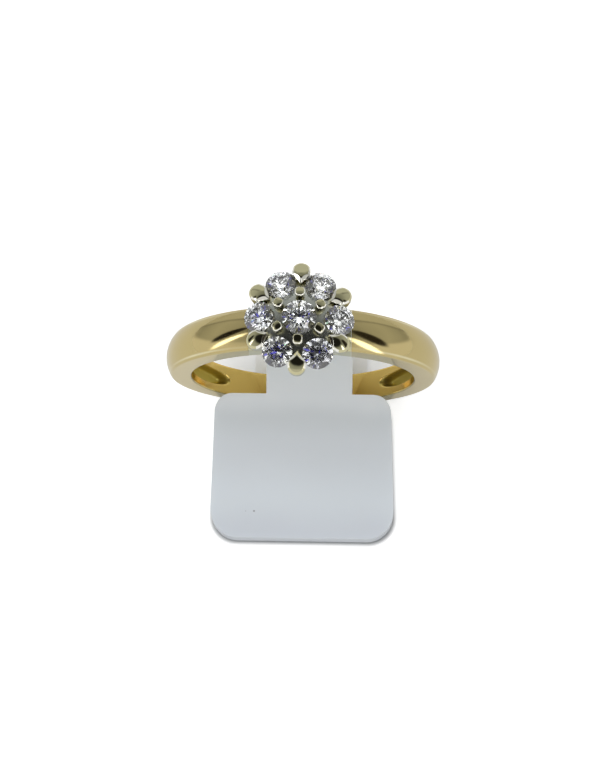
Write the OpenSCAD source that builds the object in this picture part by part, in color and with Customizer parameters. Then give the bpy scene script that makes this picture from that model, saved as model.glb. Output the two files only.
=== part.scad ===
/* [Band] */
// Inside diameter of the ring
finger_d = 17; // [15:0.1:21]
// Thickness of the band at the foot of the ring
band_foot_t = 1.6; // [1.3:0.05:2.2]
// Thickness of the band at its two sides
band_side_t = 1.95; // [1.6:0.05:2.4]
// Width of the band at the foot of the ring
band_foot_w = 2.1; // [1.7:0.05:2.8]
// Width of the band at the head
band_head_w = 3.2; // [2.8:0.05:3.8]
// Radius of the rounding across the outside of the band
band_dome_r = 2.3; // [2.1:0.05:3.5]

/* [Hollows inside the shoulders] */
// Width of each hollow
hollow_w = 1.25; // [0.8:0.05:1.4]
// Depth of each hollow
hollow_depth = 0.8; // [0.4:0.05:1]
// Angle from the foot of the ring to the lower end of each hollow
hollow_from = 48; // [30:1:60]
// Angle from the foot of the ring to the upper end of each hollow
hollow_to = 125; // [90:1:140]

/* [Cluster of stones] */
// Diameter of the middle stone
middle_stone_d = 2.46; // [2.2:0.05:2.6]
// Diameter of each outer stone
outer_stone_d = 2.22; // [2:0.02:2.4]
// Distance from the middle stone to each outer stone
stone_pitch = 2.88; // [2.8:0.01:3.1]
// Angle by which the outer stones lean outwards
stone_lean = 21; // [8:1:24]
// Height of the middle stone's girdle above the finger hole
girdle_rise = 4.45; // [3.8:0.05:5]
// Turn of the cluster on the band, seen from above
cluster_turn = -1.7; // [-5:0.1:5]
// Gap left between a stone and the metal round it
stone_gap = 0.03; // [0.02:0.01:0.06]

/* [Cut of the stones] */
// Width of the table as a share of the stone
table_share = 0.57; // [0.5:0.01:0.64]
// Height of the crown as a share of the stone
crown_share = 0.15; // [0.12:0.01:0.18]
// Height of the girdle as a share of the stone
girdle_share = 0.03; // [0.02:0.005:0.05]
// Depth of the pavilion as a share of the stone
pavilion_share = 0.43; // [0.38:0.01:0.46]
// Length of the star facets as a share of the crown
star_share = 0.5; // [0.4:0.05:0.6]
// Length of the lower girdle facets as a share of the pavilion
lower_share = 0.77; // [0.65:0.01:0.85]

/* [White setting] */
// Length of the white saddle let into the band
saddle_l = 7.4; // [6.8:0.1:8]
// Radius of the cup, level with the middle stone's girdle
cup_r = 3.4; // [3.1:0.05:3.6]
// Depth of the cup under the middle stone's girdle
cup_h = 3.5; // [2.9:0.1:3.7]
// How far the cup's top lies under the girdles
cup_under = 0.22; // [0.15:0.01:0.3]
// Width of each outer claw
claw_w = 1.3; // [1:0.02:1.4]
// Distance of an outer claw outside the line between its two stones
claw_out = 0.96; // [0.8:0.02:1.1]
// Reach of the claw's inner point beyond its round part
claw_point = 0.2; // [0.05:0.05:0.3]
// Height of the outer claws above the girdles
claw_rise = 0.78; // [0.6:0.02:1]
// Length of the upright part of each claw
claw_upright = 1.3; // [0.9:0.05:1.5]
// Width of each claw where it grows out of the band
claw_root_w = 0.7; // [0.5:0.05:1]
// Diameter of the inner beads
bead_d = 0.76; // [0.6:0.02:0.86]
// Height of the inner beads above the girdles
bead_rise = 0.76; // [0.6:0.02:0.9]
// Gap between the saddle and the yellow band
solder_gap = 0.02; // [0.01:0.01:0.04]

/* [Stand] */
// Thickness of the foot that lies under the ring
foot_t = 1.2; // [0.9:0.05:2]
// Width of the foot behind the plate
foot_w = 9.2; // [8:0.1:12]
// Reach of the foot behind the middle of the ring
foot_reach = 5.5; // [4.5:0.1:8]
// Radius of the foot's corners
foot_corner_r = 1.6; // [0.5:0.1:3]
// Width of the tongue that goes through the ring
tongue_w = 6.8; // [5:0.1:7.4]
// Sideways place of the tongue and the foot
tongue_shift = 0.4; // [-0.5:0.1:0.5]
// Reach of the tongue behind the middle of the ring
tongue_reach = 4; // [2.5:0.1:6]
// Radius of the tongue's corners
tongue_corner_r = 1; // [0.3:0.1:2]
// Upright thickness of the tongue
tongue_t = 2.6; // [1.8:0.1:3]
// Slope of the plate and the tongue
plate_slope = 21.5; // [16:0.5:24]
// Sideways place of the plate
plate_shift = -0.1; // [-0.5:0.1:0.5]
// Width of the plate beside the ring
plate_rear_w = 13.9; // [13:0.1:15]
// Width of the plate at its front
plate_front_w = 14.8; // [13:0.1:17]
// Length of the plate, seen from above
plate_l = 10.85; // [10:0.05:11.5]
// Radius of the plate's front corners
front_corner_r = 2.1; // [1:0.1:4]
// Radius of the corners beside the ring
rear_corner_r = 1.4; // [0.5:0.1:2]
// Radius at the closed end of the slot for the ring
slot_end_r = 0.4; // [0.2:0.05:0.6]
// Gap between the ring and the stand
stand_gap = 0.06; // [0.04:0.01:0.1]

/* [Hidden] */
OUTER_STONES = 6;
$fn = 96;
ARC_STEPS = 8;
CUT_SIDES = 8;
stone_step = 360 / OUTER_STONES;
cut_step = 360 / CUT_SIDES;

// Places on the ring, measured from the middle of the finger hole
finger_r = finger_d / 2;
foot_out = finger_r + band_foot_t;
crest_r = finger_r + band_side_t;
crest_rise = crest_r - foot_out;
head_top = crest_r + crest_rise;
girdle_z = finger_r + girdle_rise;
cluster_r = stone_pitch / sin(stone_lean);
cluster_z = girdle_z - cluster_r;
stone_line = stone_pitch * cos(stone_step / 2);
stone_diff = (middle_stone_d - outer_stone_d) / 2;
claw_r = stone_line + claw_out;
claw_top_z = on_cluster(claw_r) + claw_rise;
claw_foot_z = claw_top_z - claw_upright;
claw_dome_r = claw_w * 0.7;
bead_r = (stone_pitch ^ 2 - stone_diff ^ 2) / (2 * (stone_line - stone_diff));
bead_top_z = on_cluster(bead_r) + bead_rise;
cup_foot_z = girdle_z - cup_h;
cup_foot_r = band_head_w / 2;
claw_root_r = cup_foot_r - claw_root_w / 2;
claw_lean = atan2(claw_r - claw_root_r, claw_foot_z - cup_foot_z);
claw_shank = norm([claw_r - claw_root_r, claw_foot_z - cup_foot_z]);

// Places on the stand, measured from the floor under the middle of the ring
ring_z = foot_t + stand_gap + foot_out;
tongue_side = tongue_w / 2 + abs(tongue_shift);
contact_z = -sqrt(finger_r ^ 2 - tongue_side ^ 2);
contact_y = -band_half_w(contact_z);
tongue_low = ring_z + contact_z + stand_gap;
shoulder_y = -band_half_w(contact_z + tongue_t) - stand_gap;
front_y = shoulder_y - plate_l;
slot_end_z = foot_t + slot_end_r;
slot_end_y = contact_y + (slot_end_z + slot_end_r / cos(plate_slope) - tongue_low) / tan(plate_slope);

// Half the width of the band at a height from the middle of the ring
function band_half_w(z) =
    (band_foot_w + (band_head_w - band_foot_w) * (z + foot_out) / (head_top + foot_out)) / 2;
// Height of the girdles at a distance from the middle stone
function on_cluster(r) = cluster_z + sqrt(cluster_r ^ 2 - r ^ 2);
// Heights of the tongue's underside and of its top
function tongue_under(y) = tongue_low + (y - contact_y) * tan(plate_slope);
function tongue_top(y) = tongue_under(y) + tongue_t;
function polar(r, a) = [r * cos(a), r * sin(a)];
function unit(v) = v / norm(v);
// Outline whose corners [x, y, radius] are rounded
function rounded(corners) = [
    for (i = [0:len(corners) - 1])
        let (
            n = len(corners),
            here = [corners[i].x, corners[i].y],
            back = unit([corners[(i + n - 1) % n].x, corners[(i + n - 1) % n].y] - here),
            ahead = unit([corners[(i + 1) % n].x, corners[(i + 1) % n].y] - here),
            half = acos(back * ahead) / 2,
            r = corners[i].z,
            middle = here + unit(back + ahead) * r / sin(half),
            from = here + back * r / tan(half) - middle,
            to = here + ahead * r / tan(half) - middle,
            start = atan2(from.y, from.x),
            turn = (atan2(to.y, to.x) - start + 540) % 360 - 180
        )
        for (k = [0:ARC_STEPS]) middle + polar(r, start + turn * k / ARC_STEPS)
];

module along_x(length) {
    rotate([90, 0, 90]) linear_extrude(length, center = true) children();
}

module round_y() {
    rotate([90, 0, 0]) rotate_extrude() children();
}

// The whole band, before the saddle is let in
module band_blank() {
    reach = 2 * crest_r;
    translate([0, 0, ring_z]) difference() {
        intersection() {
            translate([0, 0, crest_rise]) round_y()
                translate([crest_r - band_dome_r, 0]) circle(band_dome_r);
            along_x(2 * reach) polygon([
                [-band_half_w(-reach), -reach],
                [band_half_w(-reach), -reach],
                [band_half_w(reach), reach],
                [-band_half_w(reach), reach]
            ]);
        }
        rotate([90, 0, 0]) cylinder(h = 2 * band_head_w, r = finger_r, center = true);
    }
}

// Space round the saddle, up through the top of the band
module saddle_space(length) {
    translate([-length / 2, -band_head_w, ring_z])
        cube([length, 2 * band_head_w, 2 * crest_r]);
}

// One hollow, cut from inside the finger hole
module hollow() {
    inside = finger_r / 2;
    cut = finger_r + hollow_depth - inside;
    rotate([0, 90 - hollow_from, 0]) rotate([90, 0, 0])
        rotate_extrude(angle = hollow_to - hollow_from)
            translate([inside, -hollow_w / 2]) square([cut, hollow_w]);
    for (a = [hollow_from, hollow_to])
        rotate([0, 90 - a, 0]) translate([inside, 0, 0]) rotate([0, 90, 0])
            cylinder(h = cut, d = hollow_w);
}

module shank() {
    color([0.79, 0.66, 0.40]) difference() {
        band_blank();
        saddle_space(saddle_l + solder_gap);
        translate([0, 0, ring_z]) {
            hollow();
            mirror([1, 0, 0]) hollow();
        }
    }
}

// Corners of the round brilliant cut, for a stone of diameter d with its girdle's top at zero
function crown_h(d) = crown_share * d;
function table_r(d) = table_share * d / 2;
function star_r(d) = (1 - star_share) * table_r(d) * cos(cut_step / 2) + star_share * d / 2;
function star_z(d) =
    crown_h(d) * (d / 2 - star_r(d) * cos(cut_step / 2)) / (d / 2 - table_r(d));
function lower_r(d) = (1 - lower_share) * d / 2;
function culet_z(d) = -(girdle_share + pavilion_share) * d;
function lower_z(d) = culet_z(d) + pavilion_share * d * lower_r(d) * cos(cut_step / 2) / (d / 2);
function ring_of(r, z, count, turn) =
    [for (k = [0:count - 1]) [r * cos(360 * k / count + turn), r * sin(360 * k / count + turn), z]];

module brilliant(d) {
    c = CUT_SIDES;
    girdle = 2 * c;
    table_at = 0;
    star_at = table_at + c;
    top_at = star_at + c;
    low_at = top_at + girdle;
    lower_at = low_at + girdle;
    culet_at = lower_at + c;
    points = concat(
        ring_of(table_r(d), crown_h(d), c, 0),
        ring_of(star_r(d), star_z(d), c, cut_step / 2),
        ring_of(d / 2, 0, girdle, 0),
        ring_of(d / 2, -girdle_share * d, girdle, 0),
        ring_of(lower_r(d), lower_z(d), c, cut_step / 2),
        [[0, 0, culet_z(d)]]
    );
    faces = concat(
        [[for (k = [c - 1:-1:0]) table_at + k]],
        [for (k = [0:c - 1])
            let (n = (k + 1) % c, g = 2 * k, h = 2 * k + 1, m = (2 * k + 2) % girdle, p = (k + c - 1) % c)
            each [
                [table_at + k, table_at + n, star_at + k],
                [table_at + k, star_at + k, top_at + g, star_at + p],
                [star_at + k, top_at + h, top_at + g],
                [star_at + k, top_at + m, top_at + h],
                [top_at + g, top_at + h, low_at + h, low_at + g],
                [top_at + h, top_at + m, low_at + m, low_at + h],
                [lower_at + k, low_at + g, low_at + h],
                [lower_at + k, low_at + h, low_at + m],
                [low_at + g, lower_at + k, culet_at, lower_at + p]
            ]
        ]
    );
    polyhedron(points, faces, convexity = 2);
}

// Puts a shape at the place of outer stone i, counted round from the +X side
module at_outer(i) {
    translate([0, 0, ring_z + cluster_z]) rotate([0, 0, (i - 1) * stone_step + cluster_turn])
        rotate([0, stone_lean, 0]) translate([0, 0, cluster_r]) children();
}

module at_middle() {
    translate([0, 0, ring_z + girdle_z]) children();
}

module stone_centre() {
    color([0.88, 0.90, 0.94]) at_middle() brilliant(middle_stone_d);
}

module outer_stone(i) {
    color([0.86, 0.89, 0.94]) at_outer(i) brilliant(outer_stone_d);
}

// The space that a stone takes out of the metal
module seat(d) {
    g = stone_gap;
    rotate_extrude() polygon([
        [0, culet_z(d) - 2 * g],
        [d / 2 + g, -girdle_share * d - g],
        [d / 2 + g, g],
        [star_r(d) + g, star_z(d) + g],
        [table_r(d) + g, crown_h(d) + g],
        [0, crown_h(d) + g]
    ]);
}

module cup() {
    intersection() {
        translate([0, 0, cup_foot_z]) cylinder(h = cup_h, r1 = cup_foot_r, r2 = cup_r);
        translate([0, 0, cluster_z]) sphere(cluster_r - cup_under);
    }
}

// Seen from above, a claw is round outside and comes to a blunt point between its two stones
module claw_outline() {
    half = claw_w / 2;
    translate([claw_r, 0]) {
        circle(half);
        polygon([[-half - claw_point, 0], [0, -0.95 * half], [0, 0.95 * half]]);
    }
}

module claw() {
    intersection() {
        translate([0, 0, claw_foot_z]) linear_extrude(claw_upright) claw_outline();
        translate([claw_r, 0, claw_top_z - claw_dome_r]) union() {
            sphere(claw_dome_r);
            translate([0, 0, -claw_upright]) cylinder(h = claw_upright, r = claw_dome_r);
        }
    }
    translate([claw_r, 0, claw_foot_z]) sphere(d = claw_w);
    translate([claw_root_r, 0, cup_foot_z]) rotate([0, claw_lean, 0])
        cylinder(h = claw_shank, d1 = claw_root_w, d2 = claw_w);
}

module bead() {
    shaft = bead_rise + cup_under;
    translate([bead_r, 0, bead_top_z - bead_d / 2]) {
        sphere(d = bead_d);
        translate([0, 0, -shaft]) cylinder(h = shaft, d = bead_d);
    }
}

module cluster_setting() {
    color([0.78, 0.76, 0.68]) difference() {
        union() {
            intersection() {
                band_blank();
                saddle_space(saddle_l - solder_gap);
            }
            translate([0, 0, ring_z]) {
                cup();
                for (i = [1:OUTER_STONES]) rotate([0, 0, (i - 0.5) * stone_step + cluster_turn]) {
                    claw();
                    bead();
                }
            }
        }
        at_middle() seat(middle_stone_d);
        for (i = [1:OUTER_STONES]) at_outer(i) seat(outer_stone_d);
    }
}

module plate_outline() {
    translate([plate_shift, 0]) polygon(rounded([
        [-plate_front_w / 2, front_y, front_corner_r],
        [plate_front_w / 2, front_y, front_corner_r],
        [plate_rear_w / 2, shoulder_y, rear_corner_r],
        [-plate_rear_w / 2, shoulder_y, rear_corner_r]
    ]));
}

// A strip that starts inside the plate and ends behind the ring
module strip_outline(width, reach, corner_r) {
    start_y = (front_y + shoulder_y) / 2;
    polygon(rounded([
        [tongue_shift - width / 2, start_y, corner_r],
        [tongue_shift + width / 2, start_y, corner_r],
        [tongue_shift + width / 2, reach, corner_r],
        [tongue_shift - width / 2, reach, corner_r]
    ]));
}

// The plate and the tongue down to the floor, under one slope
module sloped_body() {
    intersection() {
        linear_extrude(ring_z) union() {
            plate_outline();
            strip_outline(tongue_w, tongue_reach, tongue_corner_r);
        }
        along_x(2 * plate_front_w) polygon([
            [front_y, 0],
            [tongue_reach, 0],
            [tongue_reach, tongue_top(tongue_reach)],
            [front_y, tongue_top(front_y)]
        ]);
    }
}

// The slot in which the foot of the ring sits
module ring_slot() {
    far = 2 * foot_reach;
    along_x(2 * plate_front_w) {
        translate([slot_end_y, slot_end_z]) circle(slot_end_r);
        polygon([
            [slot_end_y, foot_t],
            [far, foot_t],
            [far, tongue_under(far)],
            [slot_end_y, tongue_under(slot_end_y)]
        ]);
    }
}

module display_stand() {
    color([0.79, 0.82, 0.83]) difference() {
        union() {
            sloped_body();
            linear_extrude(foot_t) strip_outline(foot_w, foot_reach, foot_corner_r);
        }
        ring_slot();
    }
}

shank();
cluster_setting();
stone_centre();
for (i = [1:OUTER_STONES]) outer_stone(i);
display_stand();
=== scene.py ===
"""Dresses the cluster ring on its stand: polished band, white setting, cut stones, frosted acrylic."""
import math

import bmesh
import bpy
from mathutils import Matrix, Vector


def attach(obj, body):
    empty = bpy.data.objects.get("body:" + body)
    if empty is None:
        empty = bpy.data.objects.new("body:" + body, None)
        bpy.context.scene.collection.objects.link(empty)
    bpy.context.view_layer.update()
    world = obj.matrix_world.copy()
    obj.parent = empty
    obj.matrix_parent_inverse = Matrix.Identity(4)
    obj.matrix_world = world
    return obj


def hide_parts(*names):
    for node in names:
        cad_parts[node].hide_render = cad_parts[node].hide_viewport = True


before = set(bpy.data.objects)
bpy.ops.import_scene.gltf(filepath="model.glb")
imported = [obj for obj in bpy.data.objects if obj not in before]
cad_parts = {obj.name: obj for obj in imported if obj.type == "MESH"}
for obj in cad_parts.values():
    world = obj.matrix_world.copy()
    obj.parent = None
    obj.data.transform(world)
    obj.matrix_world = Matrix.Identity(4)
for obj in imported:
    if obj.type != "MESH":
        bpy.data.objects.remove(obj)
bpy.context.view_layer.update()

MM = 0.001

# Sizes of the band's solid in millimetres. The hollows run between two angles from the foot.
FINGER_R = 8.5
FOOT_THICK = 1.6
SIDE_THICK = 1.95
FOOT_WIDE = 2.1
HEAD_WIDE = 3.2
DOME_R = 2.3
RING_Z = 11.36
CREST_R = FINGER_R + SIDE_THICK
CREST_RISE = SIDE_THICK - FOOT_THICK
FOOT_OUT = FINGER_R + FOOT_THICK
HEAD_TOP = CREST_R + CREST_RISE
HOLLOW_HALF = 0.625
HOLLOW_DEEP = 0.8
HOLLOW_FROM = 48.0
HOLLOW_TO = 125.0
SADDLE_HALF = 3.7
JOINT_GAP = 0.01

# What the dressed band adds: soft edges, the steps across its dome, and where the painted highlight on its
# edges is strongest
HOLLOW_RIM = 0.17
HOLLOW_OVER = 0.03
INSIDE_SOFT = 0.16
OUTSIDE_SOFT = 0.13
DOME_STEPS = 14
EDGE_HIGHLIGHT_AT = 130
EDGE_HIGHLIGHT_SPREAD = 22

# Sizes of the head in millimetres. Its heights are above the ring's centre.
COPIES = 6
PITCH = 2.88
LEAN = math.radians(21)
TURN = math.radians(-1.7)
GIRDLE_Z = FINGER_R + 4.45
CLUSTER_R = PITCH / math.sin(LEAN)
CLUSTER_Z = GIRDLE_Z - CLUSTER_R
MIDDLE_D = 2.46
OUTER_D = 2.22
CUP_R = 3.4
CUP_H = 3.5
CUP_UNDER = 0.22
CUP_CORNER = 0.15
CUP_SUNK = 0.3
SEAT_GAP = 0.03
CLAW_R = PITCH * math.cos(math.radians(30)) + 0.96
CLAW_RISE = 0.78
CLAW_UPRIGHT = 1.3
CLAW_HALF = 0.66
CLAW_POINT = 1.01
ROOT_HALF = 0.35
NECK_HALF = 0.58
BEND_BELOW = 0.5
BEND_ABOVE = 0.4
NECK_END = 0.60
BEAD_D = 0.76
BEAD_RISE = 0.76

# The tips' slopes and curves. A claw's tip leans outwards, with a V of two facets on its inner side.
TIP_LEAN = 0.37
TIP_DOME = 0.36
RIM_FROM = 0.80
FACET_HIGH = 0.395
FACET_SLOPE = 0.45
FACET_SPREAD = 0.60
BEAD_LEAN = 0.25
BEAD_DOME = 0.42
BEAD_LIFT = 0.05
BEAD_SQUARE = 3
BEAD_SHRINK = 0.93


def on_cluster(r):
    """Height of the girdles at a distance from the middle stone, above the ring's centre."""
    return CLUSTER_Z + math.sqrt(CLUSTER_R ** 2 - r ** 2)


def new_piece(name, verts, faces, smooth=True):
    """A mesh piece from points in millimetres."""
    mesh = bpy.data.meshes.new(name)
    mesh.from_pydata([tuple(c * MM for c in v) for v in verts], [], faces)
    mesh.validate()
    mesh.shade_smooth() if smooth else mesh.shade_flat()
    piece = bpy.data.objects.new(name, mesh)
    bpy.context.scene.collection.objects.link(piece)
    return piece


def grid_faces(rows, cols, close_rows, close_cols):
    """Quads between rows of points, laid out row after row."""
    faces = []
    for r in range(rows if close_rows else rows - 1):
        for c in range(cols if close_cols else cols - 1):
            a, b = r * cols + c, r * cols + (c + 1) % cols
            n = ((r + 1) % rows) * cols
            faces.append((a, b, n + (c + 1) % cols, n + c))
    return faces


def outward(piece):
    """Merges doubles and turns every face outwards."""
    bm = bmesh.new()
    bm.from_mesh(piece.data)
    bmesh.ops.remove_doubles(bm, verts=bm.verts, dist=1e-7)
    bmesh.ops.recalc_face_normals(bm, faces=bm.faces)
    bm.to_mesh(piece.data)
    bm.free()
    return piece


def set_mask(piece, name, values):
    """Stores one value a point, for the materials to read."""
    piece.data.attributes.new(name, "FLOAT", "POINT").data.foreach_set("value", values)


def smooth_by_angle(piece, degrees):
    """Smooth shading, with every edge that turns by more than this left crisp."""
    bm = bmesh.new()
    bm.from_mesh(piece.data)
    limit = math.radians(degrees)
    for edge in bm.edges:
        edge.smooth = edge.calc_face_angle(0.0) < limit
    for face in bm.faces:
        face.smooth = True
    bm.to_mesh(piece.data)
    bm.free()


def as_plain_mesh(piece):
    """Turns a piece with live modifiers into a plain mesh."""
    depsgraph = bpy.context.evaluated_depsgraph_get()
    mesh = bpy.data.meshes.new_from_object(piece.evaluated_get(depsgraph))
    piece.modifiers.clear()
    old = piece.data
    piece.data = mesh
    mesh.name = piece.name
    bpy.data.meshes.remove(old)
    return piece


def revolve(name, profile, steps, place):
    """A closed shape turned about its own Z axis and put in its place. The profile runs from axis to axis."""
    verts, faces = [], []
    inner = profile[1:-1]
    for k in range(steps):
        a = 2 * math.pi * k / steps
        verts += [place @ Vector((r * math.cos(a), r * math.sin(a), z)) for r, z in inner]
    n = len(inner)
    for k in range(steps):
        m = (k + 1) % steps
        faces += [(k * n + i, m * n + i, m * n + i + 1, k * n + i + 1) for i in range(n - 1)]
    low, top = len(verts), len(verts) + 1
    verts += [place @ Vector((0, 0, profile[0][1])), place @ Vector((0, 0, profile[-1][1]))]
    for k in range(steps):
        m = (k + 1) % steps
        faces.append((low, m * n, k * n))
        faces.append((top, k * n + n - 1, m * n + n - 1))
    return outward(new_piece(name, verts, faces))


def stacked(name, verts, ring):
    """A piece from rings of points laid one over another, closed at both ends."""
    rows = len(verts) // ring
    faces = grid_faces(rows, ring, False, True)
    last = (rows - 1) * ring
    faces += [tuple(range(ring)), tuple(last + k for k in range(ring))]
    return new_piece(name, verts, faces)


def bend(a, corner, b, t):
    """A point on the soft bend from a to b past a corner."""
    return (1 - t) ** 2 * a + 2 * t * (1 - t) * corner + t * t * b


# Node helpers. Each adds one node and gives back its output, except feed.
def feed(tree, socket, value):
    """Links an output to a socket, or sets the socket to a value."""
    if isinstance(value, bpy.types.NodeSocket):
        tree.links.new(value, socket)
    else:
        socket.default_value = value


def calc(tree, kind, *values):
    """One step of arithmetic on numbers or outputs."""
    step = tree.nodes.new("ShaderNodeMath")
    step.operation = kind
    for socket, value in zip(step.inputs, values):
        feed(tree, socket, value)
    return step.outputs[0]


def vector_calc(tree, kind, *values):
    """One step of arithmetic on vectors."""
    step = tree.nodes.new("ShaderNodeVectorMath")
    step.operation = kind
    for socket, value in zip(step.inputs, values):
        feed(tree, socket, value)
    return step.outputs["Value" if kind in ("DISTANCE", "DOT_PRODUCT", "LENGTH") else "Vector"]


def split(tree, vector):
    """The three numbers in a vector."""
    parts = tree.nodes.new("ShaderNodeSeparateXYZ")
    feed(tree, parts.inputs[0], vector)
    return parts.outputs


def remap(tree, value, start, end, low=0.0, high=1.0, soft=False):
    """Maps the stretch from start to end onto the one from low to high, and goes no further."""
    step = tree.nodes.new("ShaderNodeMapRange")
    if soft:
        step.interpolation_type = "SMOOTHSTEP"
    for name, given in (
        ("Value", value), ("From Min", start), ("From Max", end), ("To Min", low), ("To Max", high),
    ):
        feed(tree, step.inputs[name], given)
    return step.outputs[0]


def fade(tree, value, start, end):
    """Rises softly from 0 to 1 between two values, the first of which may be the larger."""
    return remap(tree, value, start, end, soft=True)


def blend(tree, share, low, high, kind="MIX"):
    """A share of the second colour laid over the first."""
    mix = tree.nodes.new("ShaderNodeMix")
    mix.data_type = "RGBA"
    mix.blend_type = kind
    feed(tree, mix.inputs["Factor"], share)
    for name, shade in (("A", low), ("B", high)):
        feed(tree, mix.inputs[name], (*shade, 1) if isinstance(shade, tuple) else shade)
    return mix.outputs["Result"]


def colour_ramp(tree, value, stops, interpolation="LINEAR"):
    """A ramp of colours, from rows of position and colour in rising order."""
    node = tree.nodes.new("ShaderNodeValToRGB")
    ramp = node.color_ramp
    ramp.interpolation = interpolation
    for element, (position, shade) in zip(ramp.elements, (stops[0], stops[-1])):
        element.position = position
        element.color = (*shade, 1)
    for position, shade in stops[1:-1]:
        ramp.elements.new(position).color = (*shade, 1)
    feed(tree, node.inputs[0], value)
    return node.outputs[0]


def noise(tree, place, scale, detail):
    """Soft noise between 0 and 1."""
    spots = tree.nodes.new("ShaderNodeTexNoise")
    for name, given in (("Vector", place), ("Scale", scale), ("Detail", detail)):
        feed(tree, spots.inputs[name], given)
    return spots.outputs[0]


# The band. Its angles start at the foot, and heights are above the ring's centre.
def band_half(z):
    """Half of the band's width at a height."""
    return (FOOT_WIDE + (HEAD_WIDE - FOOT_WIDE) * (z + FOOT_OUT) / (HEAD_TOP + FOOT_OUT)) / 2


def dome_reach(y, phi):
    """Distance from the ring's centre to the outside of the band, at sideways place y."""
    reach = CREST_R - DOME_R + math.sqrt(DOME_R ** 2 - y * y)
    along = -math.cos(phi) * CREST_RISE
    return along + math.sqrt(along ** 2 - CREST_RISE ** 2 + reach ** 2)


def rounded(a, corner, b, size, steps=6):
    """Points of a soft corner between two edges. It takes less than half of a short edge."""
    c = Vector(corner)
    ca, cb = Vector(a) - c, Vector(b) - c
    p = c + ca.normalized() * min(size, ca.length * 0.45)
    q = c + cb.normalized() * min(size, cb.length * 0.45)
    return [bend(p, c, q, k / steps) for k in range(steps + 1)]


# sideways places across the inside of the band, closer together on the soft rim of the hollow
INNER_STEPS = [0, 0.12, 0.24, 0.35, 0.44, 0.5, 0.54, 0.57, 0.595, 0.62, 0.645, 0.67, 0.7, 0.74, 0.8]


def band_section(phi):
    """Half of the band's outline as (distance, sideways), from the middle of the inside to the crest."""
    half_in = band_half(-FINGER_R * math.cos(phi))
    half_out = half_in
    for _ in range(4):
        half_out = band_half(-dome_reach(half_out, phi) * math.cos(phi))
    inner = (FINGER_R, half_in)
    outer = (dome_reach(half_out, phi), half_out)
    points = [Vector((FINGER_R, y)) for y in INNER_STEPS]
    points += rounded((FINGER_R, INNER_STEPS[-1]), inner, outer, INSIDE_SOFT)
    points.append(Vector(inner).lerp(Vector(outer), 0.5))
    on_dome = half_out - 0.3
    points += rounded(inner, outer, (dome_reach(on_dome, phi), on_dome), OUTSIDE_SOFT)
    last = points[-1].y
    for k in range(1, DOME_STEPS + 1):
        y = last * (1 - k / DOME_STEPS)
        points.append(Vector((dome_reach(y, phi), y)))
    return points


def from_foot(deg):
    """An angle round the band, counted from the foot up either side."""
    return min(deg % 360, 360 - deg % 360)


def hollow_depth(phi, y):
    """How deep the hollow is here, and how far up its soft rim this is: 0 outside, 1 on the flat floor."""
    mid, half = (HOLLOW_FROM + HOLLOW_TO) / 2, (HOLLOW_TO - HOLLOW_FROM) / 2
    long_half = half + math.degrees(HOLLOW_HALF / (FINGER_R + HOLLOW_DEEP / 2))
    lengthwise = abs(from_foot(math.degrees(phi)) - mid) / long_half
    out = lengthwise ** 5 + (abs(y) / (HOLLOW_HALF + HOLLOW_OVER)) ** 2
    t = min(max((1 - math.sqrt(out)) * HOLLOW_HALF / HOLLOW_RIM, 0), 1)
    return HOLLOW_DEEP * t * t * (3 - 2 * t), t


def band_angles(start, end):
    """Angles round the band in degrees, closer together at the ends of the hollows."""
    angles, a = [], start
    while a < end - 1e-6:
        angles.append(a)
        near = min(abs(from_foot(a) - HOLLOW_FROM + 2), abs(from_foot(a) - HOLLOW_TO - 2))
        a += 0.25 if near < 3.4 else 1.0
    return angles


def band_piece(name, start, end):
    """The band between two angles in degrees, with masks for its hollows, the painted shade on their walls,
    the painted reflection on its inside and the painted highlight on its edge.
    """
    angles = band_angles(start, end)
    whole = end - start >= 360
    if not whole:
        angles.append(end)
    verts, hollow, inside, edge, painted_wall_shade = [], [], [], [], []
    for deg in angles:
        phi = math.radians(deg)
        half = band_section(phi)
        left = math.sin(phi) < 0
        shoulder = half[-DOME_STEPS].y
        # painted highlight: the edge mask brightens the band's outer corner line, most part way up each side
        edge_highlight = 0.1 + 0.6 * max(0, 1 - abs(from_foot(deg) - EDGE_HIGHLIGHT_AT) / EDGE_HIGHLIGHT_SPREAD)
        loop = half + [Vector((p.x, -p.y)) for p in reversed(half[1:-1])]
        for p in loop:
            r = p.x
            t = 0.0
            if abs(r - FINGER_R) < 1e-6:
                deep, t = hollow_depth(phi, p.y)
                r += deep
            verts.append((r * math.sin(phi), p.y, RING_Z - r * math.cos(phi)))
            hollow.append(min(3 * t, 1))
            # painted shade: the walls of the hollows are darkened, and on the right the hollow's floor as
            # well
            steep = 1 - abs(2 * t - 1)
            painted_wall_shade.append(0.5 * steep if left else max(steep, 0.35 * t))
            # painted reflection: the inside mask turns the inner face a deeper, brighter orange, as gold
            # mirrored in gold
            inside.append(1.0 if p.x < FINGER_R + 0.02 else 0.0)
            corner = math.hypot(p.x - dome_reach(shoulder, phi), abs(p.y) - shoulder)
            edge.append(edge_highlight if corner < 0.04 else 0.0)
    cols = len(verts) // len(angles)
    piece = new_piece(name, verts, grid_faces(len(angles), cols, whole, True))
    for mask, values in (("hollow", hollow), ("inside", inside), ("edge", edge), ("painted_wall_shade", painted_wall_shade)):
        set_mask(piece, mask, values)
    return piece


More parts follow.
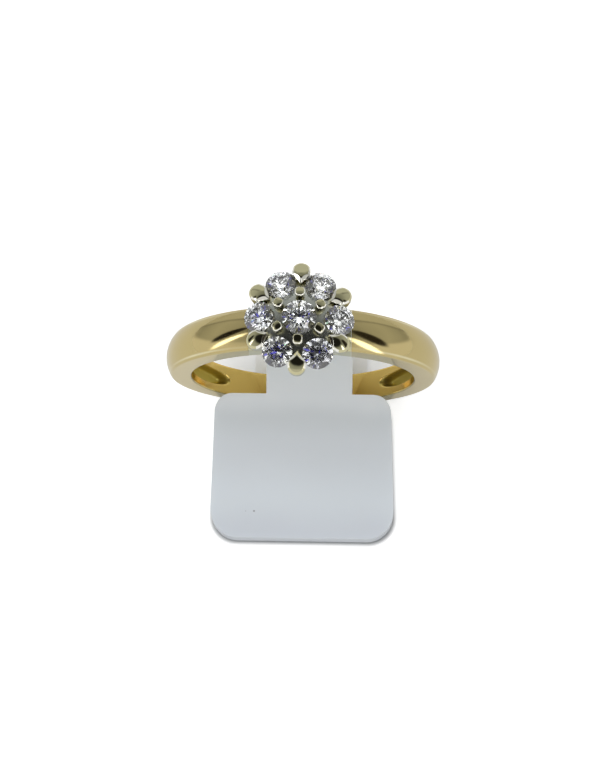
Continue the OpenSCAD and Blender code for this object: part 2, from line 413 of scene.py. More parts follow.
def trim_sideways(piece, half, keep_inside):
    """Cuts the top of the band with two upright planes, keeps one side of them and closes the cuts."""
    bm = bmesh.new()
    bm.from_mesh(piece.data)
    for side in (-1, 1):
        top = [f for f in bm.faces if f.calc_center_median().z > RING_Z * MM]
        geom = top + list({e for f in top for e in f.edges}) + list({v for f in top for v in f.verts})
        plane = (side * half * MM, 0, 0)
        bmesh.ops.bisect_plane(bm, geom=geom, dist=1e-8, plane_co=plane, plane_no=(1, 0, 0))
    gone = []
    for face in bm.faces:
        c = face.calc_center_median()
        between = abs(c.x) < half * MM and c.z > RING_Z * MM
        if between != keep_inside:
            gone.append(face)
    bmesh.ops.delete(bm, geom=gone, context="FACES")
    edges = [e for e in bm.edges if e.is_boundary]
    caps = bmesh.ops.holes_fill(bm, edges=edges, sides=0)["faces"]
    for face in caps:
        face.smooth = False
        for edge in face.edges:
            edge.smooth = False
    bmesh.ops.triangulate(bm, faces=caps)
    bmesh.ops.recalc_face_normals(bm, faces=bm.faces)
    bm.to_mesh(piece.data)
    bm.free()
    return piece


def seat_profile(d):
    """The hollow for a stone of this diameter, a little wider than the stone and open above it."""
    g, above = SEAT_GAP, 0.9
    return [(0, -0.46 * d - 2 * g), (d / 2 + g, -0.03 * d - g), (d / 2 + g, g), (0.45 * d, above), (0, above)]


def outer_place(i):
    """Where an outer stone's girdle lies, leaning outwards."""
    return (
        Matrix.Translation((0, 0, RING_Z + CLUSTER_Z))
        @ Matrix.Rotation(i * 2 * math.pi / COPIES + TURN, 4, "Z")
        @ Matrix.Rotation(LEAN, 4, "Y")
        @ Matrix.Translation((0, 0, CLUSTER_R))
    )


def gallery_piece():
    """The cup under the stones, a cone with a domed top and a seat cut for each stone."""
    foot_z, foot_r = GIRDLE_Z - CUP_H, HEAD_WIDE / 2
    ball = CLUSTER_R - CUP_UNDER
    slope = (CUP_R - foot_r) / CUP_H
    # the rim is where the cone meets the ball, found by halving
    low, high = foot_z, GIRDLE_Z
    for _ in range(40):
        mid = (low + high) / 2
        r = foot_r + (mid - foot_z) * slope
        low, high = (mid, high) if math.hypot(r, mid - CLUSTER_Z) < ball else (low, mid)
    rim = (foot_r + (low - foot_z) * slope, low)
    profile = [(0, foot_z - CUP_SUNK), (foot_r - 0.1, foot_z - CUP_SUNK), (foot_r, foot_z)]
    tall = rim[1] - foot_z
    profile += [(foot_r + tall * slope * t, foot_z + tall * t) for t in (0.3, 0.6)]
    before = Vector((foot_r + (tall - CUP_CORNER) * slope, rim[1] - CUP_CORNER))
    inside = rim[0] - CUP_CORNER
    after = Vector((inside, CLUSTER_Z + math.sqrt(ball ** 2 - inside ** 2)))
    profile += [tuple(p) for p in rounded(before, rim, after, 0.12)]
    for t in (0.8, 0.6, 0.4, 0.2):
        r = inside * t
        profile.append((r, CLUSTER_Z + math.sqrt(ball ** 2 - r * r)))
    profile.append((0, CLUSTER_Z + ball))
    cup = revolve("gallery", profile, 160, Matrix.Translation((0, 0, RING_Z)))
    middle_place = Matrix.Translation((0, 0, RING_Z + GIRDLE_Z))
    cutters = [revolve("seat", seat_profile(MIDDLE_D), 72, middle_place)]
    cutters += [revolve("seat", seat_profile(OUTER_D), 72, outer_place(i)) for i in range(COPIES)]
    for cutter in cutters:
        cut = cup.modifiers.new("seat", "BOOLEAN")
        cut.operation, cut.solver, cut.object = "DIFFERENCE", "EXACT", cutter
    as_plain_mesh(cup)
    for cutter in cutters:
        bpy.data.objects.remove(cutter)
    outward(cup)
    smooth_by_angle(cup, 30)
    # painted light: the gallery's top between the stones is marked for a paler, cooler colour that brightens
    # its shade
    middle, painted_recess_light = Vector((0, 0, (RING_Z + CLUSTER_Z) * MM)), []
    for vert in cup.data.vertices:
        off = (vert.co - middle).length / MM
        wide = math.hypot(vert.co.x, vert.co.y) / MM
        within = off < ball + 0.01 and wide < rim[0] - 0.1
        painted_recess_light.append(1.0 if within and vert.co.z > (RING_Z + low - 0.4) * MM else 0.0)
    set_mask(cup, "painted_recess_light", painted_recess_light)
    return cup


def claw_outline(turn, half, point):
    """Distance to a teardrop outline: round outside, with two straight sides that meet in a point inside."""
    spread = math.acos(half / point)
    past = abs(math.remainder(turn, 2 * math.pi)) - (math.pi - spread)
    return half / math.cos(past) if past > 0 else half


# share of the outline and drop below the top, from the upright side to the middle of the tip
CLAW_RINGS = ((0.995, 0.12), (1.0, 0.05), (0.99, 0.012)) + tuple((share, 0) for share in (
    0.97, 0.94, 0.91, 0.88, 0.85, 0.82, 0.79, 0.76, 0.72, 0.68, 0.64, 0.60, 0.55, 0.5, 0.4, 0.25, 0.02))


def claw_top(share, turn):
    """Height of the claw's tip here, and whether this place is on its bevel."""
    rho = share * claw_outline(turn, CLAW_HALF, CLAW_POINT)
    off, side = rho * math.cos(turn), rho * math.sin(turn)
    inward = min(max(-2 * math.cos(turn), 0), 1)
    rim = 0.5 * max(share - RIM_FROM, 0) * (1 - inward)
    flat = -TIP_LEAN * off - TIP_DOME * rho * rho - rim
    facet = FACET_HIGH + FACET_SLOPE * off - FACET_SPREAD * abs(side)
    bevel = 1.0 if facet < flat or (share > RIM_FROM and math.cos(turn) < 0.35) else 0.0
    return min(flat, facet), bevel


def claw_piece():
    """One claw on the +X side: a leaning root, an upright neck and a tip bevelled to a point inwards."""
    foot_z = GIRDLE_Z - CUP_H
    top_z = on_cluster(CLAW_R) + CLAW_RISE
    knee = Vector((CLAW_R, top_z - CLAW_UPRIGHT))
    root = Vector((HEAD_WIDE / 2 - ROOT_HALF, foot_z))
    down = (root - knee).normalized()
    bend_a, bend_b = knee + down * BEND_BELOW, knee + Vector((0, BEND_ABOVE))
    neck_top = Vector((CLAW_R, top_z - NECK_END))
    # each step of the spine has its place, its half width and how far it has the tip's teardrop shape
    widen = NECK_HALF - ROOT_HALF
    spine = [(root.lerp(bend_a, t), ROOT_HALF + widen * t, 0) for t in (0, 0.2, 0.4, 0.6, 0.8)]
    for t in [k / 8 for k in range(9)]:
        spine.append((bend(bend_a, knee, bend_b, t), NECK_HALF + 0.05 * t, 0.3 * t))
    spine += [(bend_b.lerp(neck_top, t), 0.63 + 0.02 * t, 0.3 + 0.6 * t) for t in (0.35, 0.7)]
    ring = 72
    turns = [2 * math.pi * k / ring for k in range(ring)]
    verts, edge, under = [], [], []
    for n, (p, half, shape) in enumerate(spine):
        a, b = spine[max(n - 1, 0)][0], spine[min(n + 1, len(spine) - 1)][0]
        run = (b - a).normalized()
        out = Vector((run.y, -run.x))
        for turn in turns:
            rho = half + (claw_outline(turn, half, 1.02) - half) * shape
            q = p + out * rho * math.cos(turn)
            verts.append((q.x, rho * math.sin(turn), q.y + RING_Z))
            edge.append(0.0)
            under.append(1.0)
    for share, drop in CLAW_RINGS:
        for turn in turns:
            rho = share * claw_outline(turn, CLAW_HALF, CLAW_POINT)
            height, bevel = claw_top(share, turn)
            top = top_z + height - drop + RING_Z
            verts.append((CLAW_R + rho * math.cos(turn), rho * math.sin(turn), top))
            edge.append(bevel)
            under.append(1.0 if drop > 0.1 else 0.0)
    piece = stacked("claws", verts, ring)
    # painted shade: the under mask darkens the claws' sides below their tips
    set_mask(piece, "under", under)
    # painted highlight: the edge mask brightens the bevel facets and rim of each claw's tip
    set_mask(piece, "edge", edge)
    return outward(piece)


# share of the outline and drop below the top, from the upright side over the bevel to the middle
BEAD_EDGE = [
    (0.93, 0.95), (0.96, 0.40), (0.98, 0.20), (1.0, 0.13), (1.0, 0.085), (0.98, 0.065), (0.93, 0.048),
    (0.88, 0.030), (0.83, 0.012), (0.80, 0.004), (0.70, 0.001), (0.35, 0.0), (0.02, 0.0),
]


def bead_piece():
    """One inner bead on the +X side, as far from the middle stone as from the two outer ones beside it.

    It is a short post with softly squared sides and a leaning, slightly domed top."""
    line = PITCH * math.cos(math.radians(30))
    diff = (MIDDLE_D - OUTER_D) / 2
    at = (PITCH ** 2 - diff ** 2) / (2 * (line - diff))
    top_z = on_cluster(at) + BEAD_RISE
    ring, verts, edge = 48, [], []
    for share, drop in BEAD_EDGE:
        for k in range(ring):
            a = 2 * math.pi * k / ring
            c, s = math.cos(a), math.sin(a)
            squared = (abs(c) ** BEAD_SQUARE + abs(s) ** BEAD_SQUARE) ** (1 / BEAD_SQUARE)
            rho = BEAD_D / 2 * share / squared * BEAD_SHRINK
            fall = BEAD_LEAN * rho * c + BEAD_DOME * rho * rho - BEAD_LIFT if drop < 0.3 else 0.0
            verts.append((at + rho * c, rho * s, top_z - drop - fall + RING_Z))
            edge.append(1.0 if 0.01 < drop < 0.1 else 0.0)
    piece = stacked("beads", verts, ring)
    # painted highlight: the edge mask brightens the bevel round each bead's top
    set_mask(piece, "edge", edge)
    return outward(piece)


def round_copies_tree():
    """Copies a piece round the upright axis and gives the copies their finish."""
    tree = bpy.data.node_groups.new("Copies round the head", "GeometryNodeTree")
    face = tree.interface
    face.new_socket("Piece", in_out="INPUT", socket_type="NodeSocketGeometry")
    face.new_socket("Copies", in_out="INPUT", socket_type="NodeSocketInt")
    face.new_socket("First angle", in_out="INPUT", socket_type="NodeSocketFloat")
    face.new_socket("Finish", in_out="INPUT", socket_type="NodeSocketMaterial")
    face.new_socket("Copies round", in_out="OUTPUT", socket_type="NodeSocketGeometry")
    given, made = tree.nodes.new("NodeGroupInput"), tree.nodes.new("NodeGroupOutput")
    points = tree.nodes.new("GeometryNodePoints")
    feed(tree, points.inputs["Count"], given.outputs["Copies"])
    number = tree.nodes.new("GeometryNodeInputIndex").outputs[0]
    share = calc(tree, "DIVIDE", number, given.outputs["Copies"])
    turn = tree.nodes.new("ShaderNodeCombineXYZ")
    angle = calc(tree, "MULTIPLY_ADD", share, 2 * math.pi, given.outputs["First angle"])
    feed(tree, turn.inputs["Z"], angle)
    copies = tree.nodes.new("GeometryNodeInstanceOnPoints")
    feed(tree, copies.inputs["Points"], points.outputs[0])
    feed(tree, copies.inputs["Instance"], given.outputs["Piece"])
    feed(tree, copies.inputs["Rotation"], turn.outputs[0])
    real = tree.nodes.new("GeometryNodeRealizeInstances")
    feed(tree, real.inputs[0], copies.outputs[0])
    paint = tree.nodes.new("GeometryNodeSetMaterial")
    feed(tree, paint.inputs["Geometry"], real.outputs[0])
    feed(tree, paint.inputs["Material"], given.outputs["Finish"])
    feed(tree, made.inputs["Copies round"], paint.outputs[0])
    return tree


def copy_round(piece, tree, first_angle, finish):
    """Copies a piece round the head, as one plain mesh."""
    made = piece.modifiers.new("copies", "NODES")
    made.node_group = tree
    given = {s.name: s.identifier for s in tree.interface.items_tree if s.in_out == "INPUT"}
    made[given["Copies"]] = COPIES
    made[given["First angle"]] = first_angle
    made[given["Finish"]] = finish
    return as_plain_mesh(piece)


def stand_piece():
    """The frosted stand, from a merged copy of its solid with every sharp edge softened."""
    piece = bpy.data.objects.new("stand_body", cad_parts["display_stand"].data.copy())
    bpy.context.scene.collection.objects.link(piece)
    bm = bmesh.new()
    bm.from_mesh(piece.data)
    bmesh.ops.remove_doubles(bm, verts=bm.verts, dist=1e-6)
    bmesh.ops.dissolve_limit(bm, angle_limit=math.radians(0.5), verts=bm.verts, edges=bm.edges)
    bmesh.ops.recalc_face_normals(bm, faces=bm.faces)
    bm.to_mesh(piece.data)
    bm.free()
    soft = piece.modifiers.new("soft edges", "BEVEL")
    soft.width = 0.32 * MM
    soft.segments = 5
    soft.limit_method = "ANGLE"
    soft.angle_limit = math.radians(35)
    soft.harden_normals = True
    as_plain_mesh(piece)
    piece.data.materials.clear()
    return piece


# Materials
def new_material(name):
    """A new material, its nodes and its shader."""
    mat = bpy.data.materials.new(name)
    mat.use_nodes = True
    return mat, mat.node_tree, mat.node_tree.nodes["Principled BSDF"]


def add_relief(tree, shader, height, strength):
    """Fine relief, a hundredth of a millimetre high at the most."""
    relief = tree.nodes.new("ShaderNodeBump")
    relief.inputs["Distance"].default_value = 0.01 * MM
    relief.inputs["Strength"].default_value = strength
    feed(tree, relief.inputs["Height"], height)
    feed(tree, shader.inputs["Normal"], relief.outputs[0])


def wear_group():
    """Polished metal's fine wear: soft clouding, hairline scratches and their height."""
    tree = bpy.data.node_groups.new("Hairline wear", "ShaderNodeTree")
    face = tree.interface
    for name, value in (("Cloud size", 400.0), ("Scratch size", 2500.0), ("Scratch share", 0.3)):
        face.new_socket(name, in_out="INPUT", socket_type="NodeSocketFloat").default_value = value
    for name in ("Cloud", "Scratch", "Height"):
        face.new_socket(name, in_out="OUTPUT", socket_type="NodeSocketFloat")
    given, made = tree.nodes.new("NodeGroupInput"), tree.nodes.new("NodeGroupOutput")
    place = tree.nodes.new("ShaderNodeTexCoord").outputs["Object"]
    cloud = noise(tree, place, given.outputs["Cloud size"], 3.0)
    stretch = tree.nodes.new("ShaderNodeMapping")
    stretch.inputs["Scale"].default_value = (1.0, 9.0, 1.0)
    stretch.inputs["Rotation"].default_value = (0.4, 0.3, 0.7)
    feed(tree, stretch.inputs["Vector"], place)
    fine = noise(tree, stretch.outputs[0], given.outputs["Scratch size"], 2.0)
    scratch = calc(tree, "MULTIPLY", remap(tree, fine, 0.58, 0.72), given.outputs["Scratch share"])
    feed(tree, made.inputs["Cloud"], cloud)
    feed(tree, made.inputs["Scratch"], scratch)
    feed(tree, made.inputs["Height"], calc(tree, "MULTIPLY_ADD", cloud, 0.6, scratch))
    return tree


def polished_metal(name, wear, deep, pale, rough, bump, shades):
    """A polished metal whose colour and gloss vary softly.

    Each row of shades has a mask of the mesh, the colour laid there and the roughness added there."""
    mat, tree, shader = new_material(name)
    shader.inputs["Metallic"].default_value = 1.0
    group = tree.nodes.new("ShaderNodeGroup")
    group.node_tree = wear
    cloud, scratch, height = (group.outputs[n] for n in ("Cloud", "Scratch", "Height"))
    colour = blend(tree, cloud, deep, pale)
    roughness = calc(tree, "MULTIPLY_ADD", scratch, 0.12, remap(tree, cloud, 0.0, 1.0, *rough))
    for attribute, shade, rougher in shades:
        mask = tree.nodes.new("ShaderNodeAttribute")
        mask.attribute_name = attribute
        colour = blend(tree, mask.outputs["Fac"], colour, shade)
        roughness = calc(tree, "MULTIPLY_ADD", mask.outputs["Fac"], rougher, roughness)
    feed(tree, shader.inputs["Base Color"], colour)
    feed(tree, shader.inputs["Roughness"], roughness)
    add_relief(tree, shader, height, bump)
    return mat


# position and colour, picked by chance for each facet
STONE_TINTS = (
    (0.0, (0.93, 0.95, 1.0)), (0.1, (0.86, 0.87, 1.0)), (0.2, (0.98, 0.99, 1.0)), (1.0, (1.0, 1.0, 1.0)),
)


def cut_stone():
    """Colourless stone with a faint tint that changes from facet to facet."""
    mat, tree, shader = new_material("Cut stone")
    shader.inputs["Roughness"].default_value = 0.08
    shader.inputs["IOR"].default_value = 2.42
    shader.inputs["Transmission Weight"].default_value = 1.0
    facing = tree.nodes.new("ShaderNodeTexCoord").outputs["Normal"]
    chance = tree.nodes.new("ShaderNodeTexWhiteNoise")
    feed(tree, chance.inputs["Vector"], vector_calc(tree, "SNAP", facing, (0.02, 0.02, 0.02)))
    feed(tree, shader.inputs["Base Color"], colour_ramp(tree, chance.outputs["Value"], STONE_TINTS))
    return mat


# position between the stand's front and the tongue's end, and colour
# the stops are painted light and shade: darkest around 0.60, just before the ring, a painted shadow of the
# ring and head
ACRYLIC_STOPS = (
    (0.05, (0.645, 0.682, 0.735)), (0.23, (0.735, 0.787, 0.825)), (0.48, (0.645, 0.680, 0.705)),
    (0.60, (0.605, 0.640, 0.650)), (0.71, (0.765, 0.797, 0.805)), (0.86, (0.790, 0.830, 0.835)),
)
# the two small marks on the plate: place and size in millimetres, and strength
SPECKS = (((-4.588, -10.097, 2.896), 0.07, 0.35), ((-3.917, -10.087, 2.900), 0.11, 0.75))


def frosted_acrylic():
    """Milky acrylic with painted light and shade: it pales and dims along its length under a painted shadow
    of the ring, has painted light where thin and painted shade down its sides.
    """
    mat, tree, shader = new_material("Frosted acrylic")
    source = tree.nodes.new("ShaderNodeTexCoord")
    place = source.outputs["Object"]
    _, y, z = split(tree, place)
    facing_x, facing_y, facing_z = split(tree, source.outputs["Normal"])

    def both(a, b):
        return calc(tree, "MULTIPLY", a, b)

    # the painted light and shade run along the stand, then come the painted shade on the plate's front and
    # rim, the painted shadow of the line round its base, the painted light on the paler part behind the ring,
    # and the marks
    # painted light and shade along the stand, with a painted shadow of the ring just before it
    along = remap(tree, y, -12.0 * MM, 4.0 * MM)
    drift = calc(tree, "MULTIPLY_ADD", noise(tree, place, 160.0, 2.0), 0.10, along)
    colour = colour_ramp(tree, drift, ACRYLIC_STOPS, "EASE")
    # painted shade: faces turned to the front are darker
    front = fade(tree, facing_y, -0.15, -0.60)
    colour = blend(tree, front, colour, (0.50, 0.53, 0.57))
    # painted shade: the softened rims down the plate's left and right sides are darker
    rim = both(fade(tree, facing_z, 0.70, 0.35), fade(tree, facing_z, 0.0, 0.08))
    sideways = fade(tree, calc(tree, "ABSOLUTE", facing_x), 0.25, 0.60)
    colour = blend(tree, both(rim, sideways), colour, (0.42, 0.44, 0.46))
    # painted shadow: steep faces in the lowest 0.75 mm at the plate's front are near black, standing in for
    # its contact shadow
    steep = fade(tree, facing_z, 0.75, 0.20)
    painted_base_shadow = both(fade(tree, z, 0.75 * MM, 0.45 * MM), fade(tree, y, -8.5 * MM, -10.0 * MM))
    colour = blend(tree, both(steep, painted_base_shadow), colour, (0.22, 0.235, 0.25))
    # painted light: behind the ring the thin foot and steep faces are paler, and the foot's flat top nearly
    # white
    behind = fade(tree, y, -1.6 * MM, -0.8 * MM)
    thin = fade(tree, z, 1.7 * MM, 1.2 * MM)
    flat = fade(tree, facing_z, 0.4, 0.8)
    colour = blend(tree, both(behind, calc(tree, "MAXIMUM", thin, steep)), colour, (0.84, 0.87, 0.86))
    colour = blend(tree, both(behind, both(thin, flat)), colour, (1.0, 1.0, 0.98))
    for spot, size, share in SPECKS:
        gap = vector_calc(tree, "DISTANCE", place, Vector(spot) * MM)
        near = fade(tree, gap, size * MM, 0.4 * size * MM)
        colour = blend(tree, both(near, share), colour, (0.16, 0.17, 0.18))
    feed(tree, shader.inputs["Base Color"], colour)
    shader.inputs["Roughness"].default_value = 0.38
    shader.inputs["Subsurface Weight"].default_value = 0.25
    shader.inputs["Subsurface Radius"].default_value = (0.0012, 0.0013, 0.0014)
    shader.inputs["Subsurface Scale"].default_value = 1.0
    shader.inputs["Coat Weight"].default_value = 0.25
    shader.inputs["Coat Roughness"].default_value = 0.14
    add_relief(tree, shader, noise(tree, place, 9000.0, 2.0), 0.25)
    return mat


# mask, colour and added roughness
# in yellow gold the edge row is a painted highlight, the inside row a painted reflection and the row for the
# hollows' walls painted shade
YELLOW_SHADES = (
    ("edge", (1.0, 0.95, 0.68), 0.0), ("inside", (0.95, 0.67, 0.20), 0.06),
    ("hollow", (0.76, 0.63, 0.16), 0.24), ("painted_wall_shade", (0.42, 0.33, 0.10), 0.1),
)
# white gold rows: painted light in the gaps between the stones, painted shade on the claws' sides and a
# painted highlight on the claw and bead bevels
WHITE_SHADES = (
    ("painted_recess_light", (0.80, 0.82, 0.76), 0.2), ("under", (0.50, 0.47, 0.30), 0.1), ("edge", (1.0, 0.98, 0.88), 0.0),
)
wear = wear_group()
yellow_gold = polished_metal(
    "Yellow gold", wear, (0.57, 0.465, 0.21), (0.63, 0.515, 0.245), (0.07, 0.13), 0.10, YELLOW_SHADES)
white_gold = polished_metal(
    "White gold", wear, (0.62, 0.58, 0.345), (0.69, 0.65, 0.41), (0.05, 0.10), 0.08, WHITE_SHADES)
stone = cut_stone()
acrylic = frosted_acrylic()

shank = trim_sideways(band_piece("band", 0, 360), SADDLE_HALF + JOINT_GAP, False)
saddle = trim_sideways(band_piece("saddle", 150, 210), SADDLE_HALF - JOINT_GAP, True)
gallery = gallery_piece()
copies = round_copies_tree()
first = math.pi / COPIES + TURN
claws = copy_round(claw_piece(), copies, first, white_gold)
beads = copy_round(bead_piece(), copies, first, white_gold)
stand = stand_piece()

for piece, finish in (
    (shank, yellow_gold), (saddle, white_gold), (gallery, white_gold), (stand, acrylic),
):
    piece.data.materials.clear()
    piece.data.materials.append(finish)

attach(shank, "root")
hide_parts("shank")
for piece in (saddle, gallery, claws, beads):
    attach(piece, "root")
    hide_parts("cluster_setting")
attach(stand, "root")
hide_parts("display_stand")

for name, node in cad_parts.items():
    if name.startswith("stone"):
        for slot in node.material_slots:
            slot.material = stone

# The floor, a round sheet. The painted shadow along the plate is measured from a core, an outline about one
# corner's radius inside the plate's edge. The ring's painted shade is an oval. Sizes in millimetres.
FLOOR_R = 90
FLOOR_CORNERS = 96
CORE_MIDDLE_X = -0.1
CORE_HALF = 4.8
CORE_TAPER = 0.0415
CORE_FRONT_Y = -9.994
PLATE_SHADOW_FULL = 2.05
PLATE_SHADOW_END = 2.52
SHADE_MIDDLE_Y = 2.8
SHADE_HALF_WIDE = 9.5
SHADE_HALF_LONG = 3.5


def length(tree, a, b):
    """How far two numbers at right angles reach together."""
    return calc(tree, "SQRT", calc(tree, "MULTIPLY_ADD", a, a, calc(tree, "MULTIPLY", b, b)))


def pale_floor():
    """Clean white in view, with painted shade where the ring shades it and a painted shadow close along the
    plate.
    """
    mat, tree, shader = new_material("Pale floor")
    shader.inputs["Roughness"].default_value = 0.9
    shader.inputs["Specular IOR Level"].default_value = 0.1
    shader.inputs["Emission Color"].default_value = (1.0, 1.0, 1.0, 1)
    x, y, _ = split(tree, tree.nodes.new("ShaderNodeTexCoord").outputs["Object"])
    aside = calc(tree, "ABSOLUTE", calc(tree, "ADD", x, -CORE_MIDDLE_X * MM))
    past_side = calc(tree, "MULTIPLY_ADD", y, CORE_TAPER, calc(tree, "SUBTRACT", aside, CORE_HALF * MM))
    past_front = calc(tree, "SUBTRACT", CORE_FRONT_Y * MM, y)
    gap = length(tree, calc(tree, "MAXIMUM", past_side, 0.0), calc(tree, "MAXIMUM", past_front, 0.0))
    # painted shadow: the floor's colour and lift drop close along the plate's front and sides
    beside_plate = fade(tree, y, -1.0 * MM, -2.0 * MM)
    painted_plate_shadow = calc(tree, "MULTIPLY", fade(tree, gap, PLATE_SHADOW_END * MM, PLATE_SHADOW_FULL * MM), beside_plate)
    feed(tree, shader.inputs["Base Color"], blend(tree, painted_plate_shadow, (0.90, 0.90, 0.90), (0.52, 0.53, 0.54)))
    # painted shade: the lift that keeps the floor white in view is smaller in an oval round the ring
    across = calc(tree, "MULTIPLY", x, 1 / (SHADE_HALF_WIDE * MM))
    behind = calc(tree, "SUBTRACT", y, SHADE_MIDDLE_Y * MM)
    along = calc(tree, "MULTIPLY", behind, 1 / (SHADE_HALF_LONG * MM))
    clean = remap(tree, length(tree, across, along), 0.3, 1.2, 0.0, 0.5)
    lift = calc(tree, "MULTIPLY", clean, calc(tree, "SUBTRACT", 1.0, painted_plate_shadow))
    in_view = tree.nodes.new("ShaderNodeLightPath").outputs["Is Camera Ray"]
    feed(tree, shader.inputs["Emission Strength"], calc(tree, "MULTIPLY", in_view, lift))
    return mat


corners = [2 * math.pi * k / FLOOR_CORNERS for k in range(FLOOR_CORNERS)]
outline = [(FLOOR_R * math.cos(a), FLOOR_R * math.sin(a), 0) for a in corners]
floor = new_piece("floor", outline, [tuple(range(FLOOR_CORNERS))], False)
floor.data.materials.append(pale_floor())


# The studio
def heading(azimuth, elevation):
    """A direction from two angles in degrees, the first counted from +X towards +Y."""
    a, e = math.radians(azimuth), math.radians(elevation)
    return Vector((math.cos(e) * math.cos(a), math.cos(e) * math.sin(a), math.sin(e)))


def soft_light(name, place, aim, size, power, colour, in_stones):
    """A square lamp that the metal doesn't mirror. With in_stones only the stones gather its light."""
    data = bpy.data.lights.new(name, "AREA")
    data.shape = "SQUARE"
    data.size = size
    data.energy = power
    data.color = colour
    lamp = bpy.data.objects.new(name, data)
    lamp.location = Vector(place) * MM
    away = Vector(place) - Vector(aim)
    lamp.rotation_euler = away.to_track_quat("Z", "Y").to_euler()
    lamp.visible_glossy = False
    lamp.visible_transmission = in_stones
    lamp.visible_diffuse = not in_stones
    bpy.context.scene.collection.objects.link(lamp)


def card_group():
    """A soft-edged oval card in one direction of the studio."""
    tree = bpy.data.node_groups.new("Studio card", "ShaderNodeTree")
    face = tree.interface
    for name in ("Direction", "Along", "Across"):
        face.new_socket(name, in_out="INPUT", socket_type="NodeSocketVector")
    face.new_socket("Edge", in_out="INPUT", socket_type="NodeSocketFloat").default_value = 0.3
    face.new_socket("Cover", in_out="OUTPUT", socket_type="NodeSocketFloat")
    given, made = tree.nodes.new("NodeGroupInput"), tree.nodes.new("NodeGroupOutput")
    toward, along, across, edge = (given.outputs[n] for n in ("Direction", "Along", "Across", "Edge"))
    look = tree.nodes.new("ShaderNodeTexCoord").outputs["Generated"]
    off = vector_calc(tree, "SUBTRACT", look, toward)
    flat = tree.nodes.new("ShaderNodeCombineXYZ")
    feed(tree, flat.inputs["X"], vector_calc(tree, "DOT_PRODUCT", off, along))
    feed(tree, flat.inputs["Y"], vector_calc(tree, "DOT_PRODUCT", off, across))
    reach = vector_calc(tree, "LENGTH", flat.outputs[0])
    cover = remap(tree, reach, calc(tree, "SUBTRACT", 1.0, edge), 1.0, 1.0, 0.0, soft=True)
    ahead = calc(tree, "GREATER_THAN", vector_calc(tree, "DOT_PRODUCT", look, toward), 0.2)
    feed(tree, made.inputs["Cover"], calc(tree, "MULTIPLY", cover, ahead))
    return tree


# height from straight down to straight up, and colour
REAR_STOPS = (
    (0.36, (0.62, 0.63, 0.62)), (0.44, (0.38, 0.3876, 0.38)), (0.50, (0.46, 0.4692, 0.46)),
    (0.62, (0.54, 0.5508, 0.54)), (0.78, (0.46, 0.4692, 0.46)), (0.93, (0.26, 0.27, 0.26)),
)


def studio_world(cards):
    """A light tent, pale in front and dimmer behind and above, with soft cards laid over it in order.

    Rays through the stones find it brighter behind, and the camera sees plain white."""
    world = bpy.data.worlds.new("Studio")
    bpy.context.scene.world = world
    world.use_nodes = True
    tree = world.node_tree
    look = tree.nodes.new("ShaderNodeTexCoord").outputs["Generated"]
    _, y, z = split(tree, look)
    leaning = vector_calc(tree, "DOT_PRODUCT", look, (0.0, 1.0, 1.2))
    front = remap(tree, z, 0.20, 0.50, 0.84, 0.62)
    rear = colour_ramp(tree, remap(tree, z, -1.0, 1.0), REAR_STOPS)
    colour = blend(tree, fade(tree, leaning, -0.05, 0.13), front, rear)
    group = card_group()
    for start, end, half_across, edge, shade in cards:
        first_end, last_end = heading(*start), heading(*end)
        toward = ((first_end + last_end) / 2).normalized()
        along = (last_end - first_end).normalized()
        card = tree.nodes.new("ShaderNodeGroup")
        card.node_tree = group
        card.inputs["Direction"].default_value = toward
        card.inputs["Along"].default_value = along / ((last_end - first_end).length / 2)
        card.inputs["Across"].default_value = toward.cross(along) / half_across
        card.inputs["Edge"].default_value = edge
        colour = blend(tree, card.outputs["Cover"], colour, shade)
    path = tree.nodes.new("ShaderNodeLightPath")
    sides = remap(tree, y, -0.30, 0.22, 0.05, 4.2)
    colour = blend(tree, path.outputs["Is Transmission Ray"], colour, sides, "MULTIPLY")
    colour = blend(tree, path.outputs["Is Camera Ray"], colour, (1.0, 1.0, 1.0))
    feed(tree, tree.nodes["Background"].inputs["Color"], colour)
    tree.nodes["Background"].inputs["Strength"].default_value = 1.0


# azimuth and elevation of both ends, half the width, the soft share of the edge and the colour
CARDS = (
    ((154, -16), (26, -16), 1.10, 0.07, (0.18, 0.18, 0.18)),
    ((150, -16), (30, -16), 1.03, 0.06, (0.60, 0.61, 0.60)),
    ((178, 41), (345, 39), 0.52, 0.30, (0.015, 0.015, 0.015)),
    ((212, -6), (183, 50), 0.085, 0.5, (3.2, 3.2, 3.3)),
    ((312, -8), (337, 52), 0.115, 0.5, (3.2, 3.2, 3.3)),
    ((196, 6), (156, 47), 0.125, 0.30, (0.015, 0.012, 0.01)),
    ((335, 8), (18, 52), 0.170, 0.30, (0.03, 0.025, 0.018)),
)
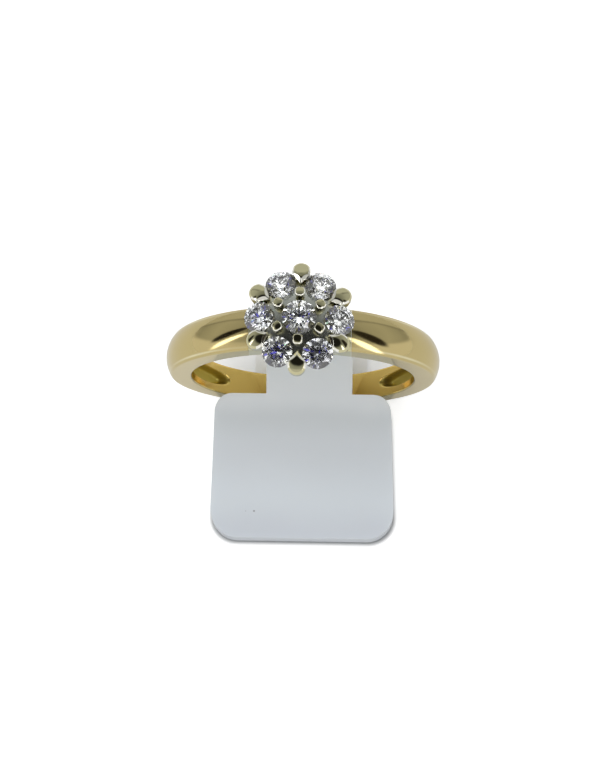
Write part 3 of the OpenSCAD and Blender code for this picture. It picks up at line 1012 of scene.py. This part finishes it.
# azimuth, elevation, size in metres, power in watts and colour
SPARKLES = (
    ("sparkle rear left", 118, 34, 0.045, 0.040, (1.0, 1.0, 1.0)),
    ("sparkle rear right", 66, 40, 0.045, 0.060, (1.0, 1.0, 1.0)),
    ("sparkle rear low", 92, 14, 0.045, 0.040, (0.95, 0.97, 1.0)),
    ("sparkle rear high", 88, 62, 0.022, 0.040, (0.95, 0.97, 1.0)),
    ("sparkle high left", 168, 66, 0.060, 0.018, (1.0, 1.0, 1.0)),
    ("sparkle high right", 12, 66, 0.060, 0.018, (1.0, 1.0, 1.0)),
    ("sparkle yellow", 72, 30, 0.035, 0.020, (1.0, 0.85, 0.08)),
    ("sparkle rose", 100, 28, 0.035, 0.018, (1.0, 0.28, 0.18)),
    ("sparkle green", 135, 24, 0.035, 0.014, (0.2, 1.0, 0.4)),
    ("sparkle violet", 246, 70, 0.045, 0.0055, (0.10, 0.075, 1.0)),
)
SPARKLE_DISTANCE = 220

soft_light("overhead fill", (-40, -60, 300), (0, 0, 5), 0.3, 0.65, (1, 1, 1), False)
studio_world(CARDS)
head = Vector((0, 0, RING_Z + GIRDLE_Z))
for name, azimuth, elevation, size, power, colour in SPARKLES:
    place = heading(azimuth, elevation) * SPARKLE_DISTANCE + head
    soft_light(name, place, head, size, power, colour, True)

# The camera, placed and turned as the photo's: angles in degrees, lengths in millimetres
ELEVATION = math.radians(75.957)
AZIMUTH = math.radians(6.73)
ROLL = math.radians(-5.757)
DISTANCE = 150.0
SHIFT_SIDE = 0.237
SHIFT_UP = 1.476
SENSOR_WIDE = 36.0
PHOTO_WIDE = 600
FOCAL_PIXELS = 1952.17
flat = math.cos(ELEVATION)
back = Vector((math.sin(AZIMUTH) * flat, -math.cos(AZIMUTH) * flat, math.sin(ELEVATION)))
level = Vector((math.cos(AZIMUTH), math.sin(AZIMUTH), 0))
upright = back.cross(level)
side = math.cos(ROLL) * level + math.sin(ROLL) * upright
up = -math.sin(ROLL) * level + math.cos(ROLL) * upright
spot = Vector((0, 0, RING_Z)) + DISTANCE * back - SHIFT_SIDE * side - SHIFT_UP * up
lens = bpy.data.cameras.new("camera")
lens.sensor_fit = "HORIZONTAL"
lens.sensor_width = SENSOR_WIDE
lens.lens = FOCAL_PIXELS / PHOTO_WIDE * SENSOR_WIDE
lens.clip_start = 0.01
lens.clip_end = 10.0
camera = bpy.data.objects.new("camera", lens)
camera.matrix_world = Matrix.Translation(spot * MM) @ Matrix((side, up, back)).transposed().to_4x4()
bpy.context.scene.collection.objects.link(camera)
bpy.context.scene.camera = camera
bpy.context.scene.view_settings.view_transform = "Standard"
